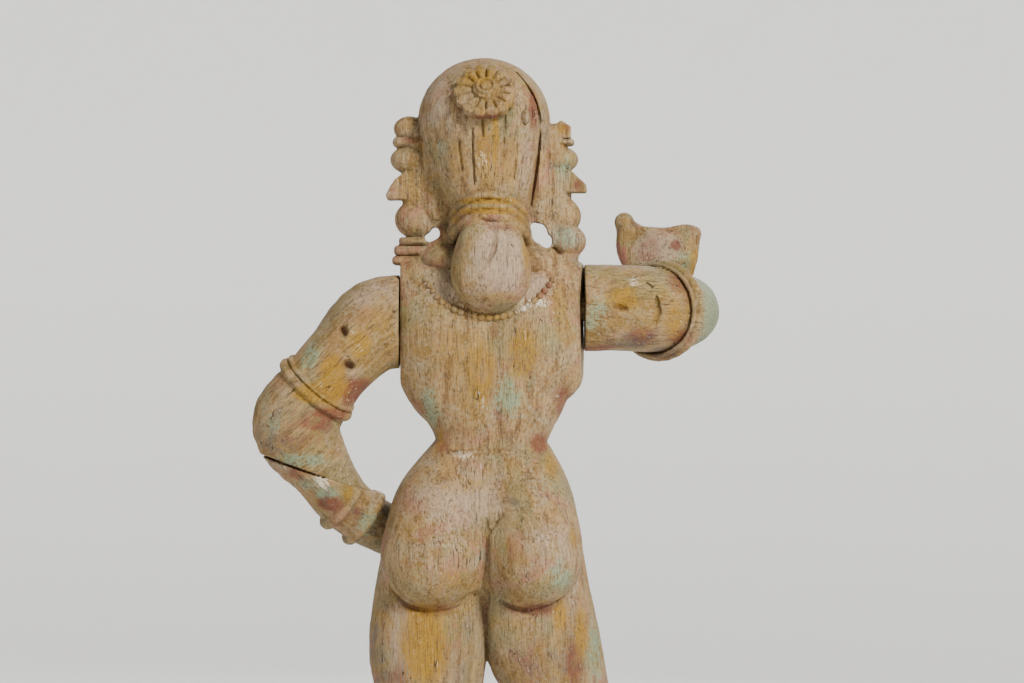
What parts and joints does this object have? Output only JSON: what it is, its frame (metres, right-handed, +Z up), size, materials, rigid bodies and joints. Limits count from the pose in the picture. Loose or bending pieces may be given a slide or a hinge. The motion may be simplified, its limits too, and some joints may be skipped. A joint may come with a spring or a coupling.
{
  "type": "carved standing figure",
  "caption": "Standing female figure in worn painted wood, one hand on the hip and one raised, with arms that plug in at the shoulders.",
  "frame": {"origin": "centre of the plinth's underside", "axes": "+Z up, the figure faces -Y, and its own left side is at +X"},
  "size_m": [0.3629, 0.3305, 0.9406],
  "materials": {
    "body_wood": "worn paint over weathered grain, matte",
    "rosette_wood": "worn ochre paint, matte",
    "arm_wood": "worn ochre and mint paint, matte",
    "forearm_wood": "worn grey-green paint, matte",
    "hand_wood": "worn pink paint, matte",
    "plug_wood": "grey end grain, matte",
    "dowel_wood": "bare turned wood, matte",
    "plinth_wood": "worn dark paint, matte"
  },
  "bodies": {
    "figure": {"body_block": "body_wood", "hair_rosette": "rosette_wood", "rosette_peg": "dowel_wood", "crown_plug": "plug_wood", "plinth": "plinth_wood", "left_foot_dowel": "dowel_wood", "right_foot_dowel": "dowel_wood"},
    "left_dowel": {"left_shoulder_dowel": "dowel_wood"},
    "left_arm": {"left_upper_arm": "arm_wood", "left_forearm": "forearm_wood", "left_elbow_dowel": "dowel_wood"},
    "right_dowel": {"right_shoulder_dowel": "dowel_wood"},
    "right_arm": {"right_upper_arm": "arm_wood", "right_forearm": "forearm_wood", "right_hand": "hand_wood", "right_elbow_dowel": "dowel_wood", "right_wrist_dowel": "dowel_wood"}
  },
  "joints": [
    {"name": "left_arm_draw_off", "type": "slide", "parent": "figure", "child": "left_dowel", "axis": [1, 0, 0], "range_m": [0, 0.045]},
    {"name": "left_shoulder_turn", "type": "hinge", "parent": "left_dowel", "child": "left_arm", "pos_m": [0.0706, 0, 0.733], "axis": [1, 0, 0], "range_deg": [-55, 0]},
    {"name": "right_arm_draw_off", "type": "slide", "parent": "figure", "child": "right_dowel", "axis": [-1, 0, 0], "range_m": [0, 0.045]},
    {"name": "right_shoulder_turn", "type": "hinge", "parent": "right_dowel", "child": "right_arm", "pos_m": [-0.077, 0, 0.744], "axis": [1, 0, 0], "range_deg": [-40, 50]}
  ]
}
